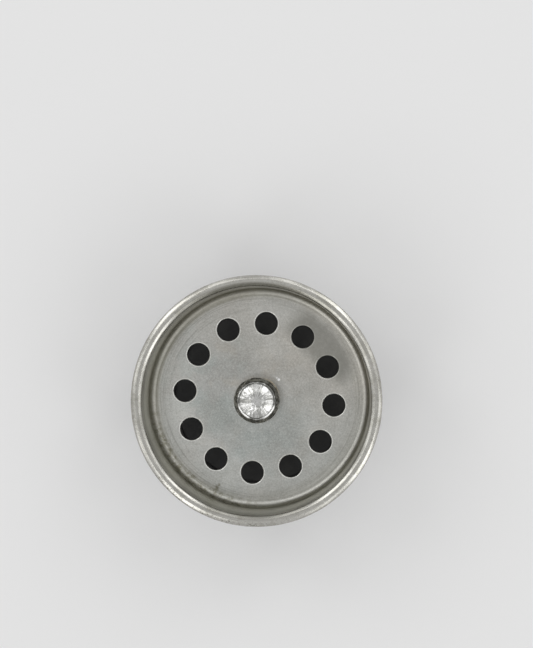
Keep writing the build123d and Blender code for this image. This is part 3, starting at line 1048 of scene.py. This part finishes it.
@dataclass
class Basket:
    """The pressed cup: rolled rim, drawn wall, and a floor with its pad and drain holes."""

    bore: float = 3.45
    pad_radius: float = 7.4
    pad_slope: float = 2.0
    pad_top: float = -12.2
    pad_round: float = 14.0
    draw_ring: float = 22.2
    draw_ring_depth: float = 0.012
    draw_ring_half_width: float = 0.4
    draw_ring_bend: float = 1.5
    mouth_radius: float = 24.65
    mouth_bend: float = 0.55
    rim_radius: float = 27.0
    rim_top: float = 1.7
    rim_slope: float = math.radians(26.0)
    rim_crown_bend: float = 2.1
    rim_peak_share: float = 0.54
    rim_outer_bend: float = 0.25
    rim_under_bend: float = 0.6
    rim_start: float = 24.6
    rim_foot: float = -0.5
    hem_end: float = 25.3
    hole_lip: float = 0.22
    hole_burr: float = 0.05
    lip_steps: int = 5
    loop_shares: tuple[float, ...] = (0.0, 0.3, 0.6, 0.82, 0.94)
    holes_inner: float = 12.4
    holes_outer: float = 20.6
    sector_steps: int = 24
    side_steps: int = 16
    floor: CupFloor = CupFloor()
    finish: SatinSteel = SatinSteel()
    rim_finish: WornRim = WornRim()

    def path(self) -> tuple[Corner, ...]:
        """The upper side of the sheet, from the bush outward to the end of the hem.

        Returns:
            Its corners.
        """
        top, ring, ring_half = self.floor.top, self.draw_ring, self.draw_ring_half_width
        width = self.rim_radius - self.mouth_radius
        middle = self.mouth_radius + width * self.rim_peak_share
        peak = self.rim_top + self.rim_crown_bend * (1 / math.cos(self.rim_slope) - 1)
        edge = peak - width / 2 * math.tan(self.rim_slope)
        return (
            Corner(self.bore, self.pad_top),
            Corner(self.pad_radius - self.pad_slope, self.pad_top, self.pad_round),
            Corner(self.pad_radius, top, self.pad_round),
            Corner(ring - ring_half, top, self.draw_ring_bend),
            Corner(ring, top - self.draw_ring_depth, self.draw_ring_bend),
            Corner(ring + ring_half, top, self.draw_ring_bend),
            Corner(self.floor.radius, top, self.floor.bend),
            Corner(self.mouth_radius, edge, self.mouth_bend),
            Corner(middle, peak, self.rim_crown_bend),
            Corner(self.rim_radius, edge, self.rim_outer_bend),
            Corner(self.rim_radius, 0.0, self.rim_under_bend),
            Corner(self.hem_end, 0.0),
        )

    def build(self) -> bpy.types.Object:
        """Builds the cup as one closed mesh.

        Returns:
            The cup.
        """
        floor, inner, outer = self.floor, self.holes_inner, self.holes_outer
        mesh = TurnedMesh(floor.hole_count * self.sector_steps, floor.first_edge)
        sheet = Sheet(self.path(), floor.sheet)
        upper = Outline(sheet.path).points()
        lower = Outline(sheet.far_side()).points()
        outward = [(outer, floor.top), *(point for point in upper if point[0] > outer)]
        under = [(outer, floor.bottom), *(point for point in lower if point[0] > outer)]
        mesh.turn(outward + under[::-1])
        inward = [*(point for point in upper if point[0] < inner), (inner, floor.top)]
        below = [*(point for point in lower if point[0] < inner), (inner, floor.bottom)]
        mesh.turn(below[::-1] + inward)
        for hole in range(floor.hole_count):
            self.pierce(mesh, hole)
        return mesh.build("basket_cup")

    def pierce(self, mesh: TurnedMesh, hole: int) -> None:
        """Fills one sector of the floor round a drain hole.

        Args:
            mesh: The mesh that the sector goes into.
            hole: The hole's number.
        """
        floor, lip = self.floor, self.hole_lip
        centre = mesh.direction((hole + 0.5) * self.sector_steps) * floor.hole_circle
        edge = list(self.sector_edge(mesh, hole))
        rays = [(place - centre).normalized() for place in edge]
        brim = [centre + ray * (floor.hole_radius + lip) for ray in rays]
        flat = [[place.lerp(near, share) for place, near in zip(edge, brim)] for share in self.loop_shares]
        bends = [math.pi / 2 * step / self.lip_steps for step in range(self.lip_steps + 1)]
        bore = [
            *((lip * (1 - math.sin(bend)), floor.top - lip * (1 - math.cos(bend))) for bend in bends),
            (0.0, floor.bottom + self.hole_burr),
            (self.hole_burr, floor.bottom),
        ]
        loops = [mesh.loop(places, floor.top) for places in flat]
        for room, level in bore:
            loops.append(mesh.loop([centre + ray * (floor.hole_radius + room) for ray in rays], level))
        loops.extend(mesh.loop(places, floor.bottom) for places in reversed(flat))
        mesh.stitch(loops)

    def sector_edge(self, mesh: TurnedMesh, hole: int) -> Iterator[Vector]:
        """The edge of the sector round one hole.

        Args:
            mesh: The mesh whose steps round the axis it keeps to.
            hole: The hole's number.

        Yields:
            Places along the edge, once round, at no height.
        """
        first = hole * self.sector_steps
        last = first + self.sector_steps
        width = self.holes_outer - self.holes_inner
        for step in range(self.sector_steps):
            yield mesh.direction(first + step) * self.holes_inner
        for step in range(self.side_steps):
            yield mesh.direction(last) * (self.holes_inner + width * step / self.side_steps)
        for step in range(self.sector_steps):
            yield mesh.direction(last - step) * self.holes_outer
        for step in range(self.side_steps):
            yield mesh.direction(first) * (self.holes_outer - width * step / self.side_steps)

    def dress(self) -> None:
        """Builds the cup, dresses it and puts it in the CAD basket's place."""
        cup = self.build()
        dress(cup, self.finish.make(), self.rim_finish.make())
        for face in cup.data.polygons:
            place = face.center / MM
            if math.hypot(place.x, place.y) > self.rim_start and place.z > self.rim_foot:
                face.material_index = 1
        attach(cup, "basket")
        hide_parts("basket")
        log.info("basket: %d faces, in place of the CAD basket", len(cup.data.polygons))


@dataclass
class PostGuide:
    """The bush in the basket's floor, with its washer, nut and spring ring."""

    brass: TurnedMetal = TurnedMetal(
        "dulled_brass", (0.60, 0.47, 0.25, 1.0), (0.30, 0.22, 0.12, 1.0), 0.34
    )
    plated: TurnedMetal = TurnedMetal(
        "plated_washer", (0.55, 0.55, 0.54, 1.0), (0.36, 0.36, 0.33, 1.0), 0.38, 4.0
    )
    spring: TurnedMetal = TurnedMetal(
        "spring_wire", (0.30, 0.30, 0.31, 1.0), (0.14, 0.13, 0.12, 1.0), 0.36
    )

    def dress(self) -> None:
        """Dresses the CAD nodes of the guide."""
        brass = self.brass.make()
        dress_nodes(
            {
                "floor_bush": brass,
                "bush_nut": brass,
                "bush_washer": self.plated.make(),
                "detent_ring": self.spring.make(),
            }
        )


@dataclass
class KnobAndPost:
    """The knob, and the post that it pulls and pushes."""

    bottom: float = -5.2
    bottom_round: float = 0.12
    bore: float = 1.55
    bore_top: float = -1.6
    neck: float = 2.9
    neck_top: float = -2.6
    neck_round: float = 1.1
    radius: float = 4.95
    rim_bottom: float = -1.4
    rim_top: float = -0.9
    rim_round: float = 0.45
    crest_level: float = 0.46
    crest_round: float = 0.28
    groove_radius: float = 3.76
    groove_level: float = 0.34
    groove_round: float = 0.04
    face_edge: float = 0.6
    face_bevel: Point = (0.03, 0.04)
    face_crown: float = 0.8
    face_steps: int = 28
    segments: int = 192
    top: KnobTop = KnobTop()
    chrome: PolishedChrome = PolishedChrome()
    steel: TurnedMetal = TurnedMetal(
        "turned_post", (0.52, 0.52, 0.50, 1.0), (0.34, 0.33, 0.30, 1.0), 0.26, 8.0, 0.006, 0.3
    )

    def side(self) -> tuple[Corner, ...]:
        """The knob's outline, from its bore round the outside to the edge of its face.

        Returns:
            Its corners.
        """
        bevel_in, bevel_down = self.face_bevel
        return (
            Corner(0.0, self.bore_top),
            Corner(self.bore, self.bore_top),
            Corner(self.bore, self.bottom),
            Corner(self.neck, self.bottom, self.bottom_round),
            Corner(self.neck, self.neck_top, self.neck_round),
            Corner(self.radius, self.rim_bottom, self.rim_round),
            Corner(self.radius, self.rim_top, self.rim_round),
            Corner(self.top.crest, self.crest_level, self.crest_round),
            Corner(self.groove_radius, self.groove_level, self.groove_round),
            Corner(self.top.face, self.face_edge - bevel_down),
            Corner(self.top.face - bevel_in, self.face_edge),
        )

    def face(self) -> list[Point]:
        """The low dome of the face, from its edge to the axis.

        Returns:
            Points of radius and height in millimetres.
        """
        sphere = (self.top.face**2 + self.face_crown**2) / (2 * self.face_crown)
        centre = self.face_edge + self.face_crown - sphere
        widest = math.asin((self.top.face - self.face_bevel[0]) / sphere)
        angles = [widest * (1 - step / self.face_steps) for step in range(1, self.face_steps + 1)]
        return [(sphere * math.sin(angle), centre + sphere * math.cos(angle)) for angle in angles]

    def build(self) -> bpy.types.Object:
        """Builds the knob as one closed mesh.

        Returns:
            The knob.
        """
        mesh = TurnedMesh(self.segments)
        mesh.turn(Outline(self.side()).points() + self.face())
        return mesh.build("knob_cap")

    def dress(self) -> None:
        """Builds the knob in the CAD knob's place, and dresses it and the post."""
        knob = self.build()
        dress(knob, self.chrome.make())
        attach(knob, "stopper")
        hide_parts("knob")
        log.info("knob: %d faces, in place of the CAD knob", len(knob.data.polygons))
        dress_nodes({"post": self.steel.make()})


@dataclass
class Stopper:
    """The rubber stopper, the washers that hold it, and the nylon guide peg."""

    rubber: MouldedRubber = MouldedRubber()
    nylon: MouldedNylon = MouldedNylon()
    plated: TurnedMetal = TurnedMetal(
        "pressed_washer", (0.52, 0.52, 0.51, 1.0), (0.34, 0.34, 0.31, 1.0), 0.36, 3.0
    )
    spring: TurnedMetal = TurnedMetal(
        "lock_washer_steel", (0.32, 0.32, 0.33, 1.0), (0.16, 0.15, 0.13, 1.0), 0.40
    )

    def dress(self) -> None:
        """Dresses the CAD nodes of the stopper."""
        plated = self.plated.make()
        dress_nodes(
            {
                "stopper_seal": self.rubber.make(),
                "upper_washer": plated,
                "cup_washer": plated,
                "lock_washer": self.spring.make(),
                "guide_peg": self.nylon.make(),
            }
        )


# Studio


@dataclass(frozen=True)
class SoftBox:
    """A soft rectangular light that faces the basket, placed by its direction from there."""

    name: str
    azimuth: float
    width: float
    radiance: float
    height: float = 0.40
    off_zenith: float = 38.0
    distance: float = 0.75

    def build(self) -> None:
        """Hangs the light."""
        lamp = bpy.data.lights.new(self.name, "AREA")
        lamp.shape = "RECTANGLE"
        lamp.size = self.width
        lamp.size_y = self.height
        lamp.energy = self.radiance * math.pi * self.width * self.height
        holder = bpy.data.objects.new(self.name, lamp)
        bpy.context.scene.collection.objects.link(holder)
        azimuth, tilt = math.radians(self.azimuth), math.radians(self.off_zenith)
        away = Vector(
            (math.cos(azimuth) * math.sin(tilt), math.sin(azimuth) * math.sin(tilt), math.cos(tilt))
        )
        holder.location = away * self.distance
        holder.rotation_euler = (-away).to_track_quat("-Z", "Y").to_euler()


@dataclass
class Studio:
    """A pale floor under the strainer, soft lights over it, and the camera."""

    floor_half: float = 2.5
    floor_room: float = 0.0062
    world_level: float = 0.69
    broad: tuple[float, ...] = (51.0, 140.0, 232.0, 323.0)
    broad_width: float = 0.17
    broad_radiance: float = 2.08
    narrow: tuple[float, ...] = (22.0, 79.0, 113.0, 171.0, 204.0, 297.0, 353.0)
    narrow_width: float = 0.09
    narrow_radiance: float = 1.05
    focal_length: float = 117.4
    sensor_width: float = 36.0
    frame_width: int = 533
    frame_height: int = 648
    camera_place: tuple[float, float, float] = (0.0230, 0.0232, 0.4530)
    rim_level: float = 0.0015
    rim_centre: Point = (256.1, 401.3)

    def build(self) -> None:
        """Builds the floor, the lights, the world and the camera."""
        self.build_floor()
        boxes = list(self.boxes())
        for box in boxes:
            box.build()
        self.build_world()
        self.build_camera()
        bpy.context.scene.view_settings.view_transform = "Standard"
        log.info("studio: floor, %d lights and camera", len(boxes))

    def boxes(self) -> Iterator[SoftBox]:
        """The lights, which stand in a ring round the camera.

        Yields:
            The broad lights, and then the narrow ones between them.
        """
        for azimuth in self.broad:
            yield SoftBox(f"broad_{azimuth:.0f}", azimuth, self.broad_width, self.broad_radiance)
        for azimuth in self.narrow:
            yield SoftBox(f"narrow_{azimuth:.0f}", azimuth, self.narrow_width, self.narrow_radiance)

    def build_floor(self) -> None:
        """Lays the floor just under the peg's tip as it is with the stopper down."""
        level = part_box("guide_peg")[0].z - self.floor_room
        half = self.floor_half
        mesh = bpy.data.meshes.new("studio_floor")
        corners = [(-half, -half, level), (half, -half, level), (half, half, level), (-half, half, level)]
        mesh.from_pydata(corners, [], [(0, 1, 2, 3)])
        floor = bpy.data.objects.new("studio_floor", mesh)
        bpy.context.scene.collection.objects.link(floor)
        dress(floor, StudioPaper().make())

    def build_world(self) -> None:
        """Fills the world with one even grey."""
        world = bpy.data.worlds.new("studio_world")
        world.use_nodes = True
        background = world.node_tree.nodes["Background"]
        background.inputs["Color"].default_value = grey(self.world_level)
        background.inputs["Strength"].default_value = 1.0
        bpy.context.scene.world = world

    def build_camera(self) -> None:
        """Sets the camera so that the rim's centre falls where it does in the photograph."""
        data = bpy.data.cameras.new("camera")
        data.lens = self.focal_length
        data.sensor_width = self.sensor_width
        data.dof.use_dof = False
        camera = bpy.data.objects.new("camera", data)
        bpy.context.scene.collection.objects.link(camera)
        eye = Vector(self.camera_place)
        distance = eye.z - self.rim_level
        scale = self.frame_height / data.sensor_width * data.lens / distance
        right = (self.frame_width / 2 - self.rim_centre[0]) / scale
        up = (self.rim_centre[1] - self.frame_height / 2) / scale
        forward = (Vector((right, up, self.rim_level)) - eye).normalized()
        across = forward.cross(Vector((0.0, 1.0, 0.0))).normalized()
        above = across.cross(forward)
        axes = Matrix((across, above, -forward)).transposed()
        camera.matrix_world = Matrix.Translation(eye) @ axes.to_4x4()
        bpy.context.scene.camera = camera


def main() -> None:
    """Builds and dresses every sub-assembly, then the studio."""
    logging.basicConfig(level=logging.INFO, format="%(message)s")
    Basket().dress()
    PostGuide().dress()
    KnobAndPost().dress()
    Stopper().dress()
    Studio().build()


if __name__ == "__main__":
    main()
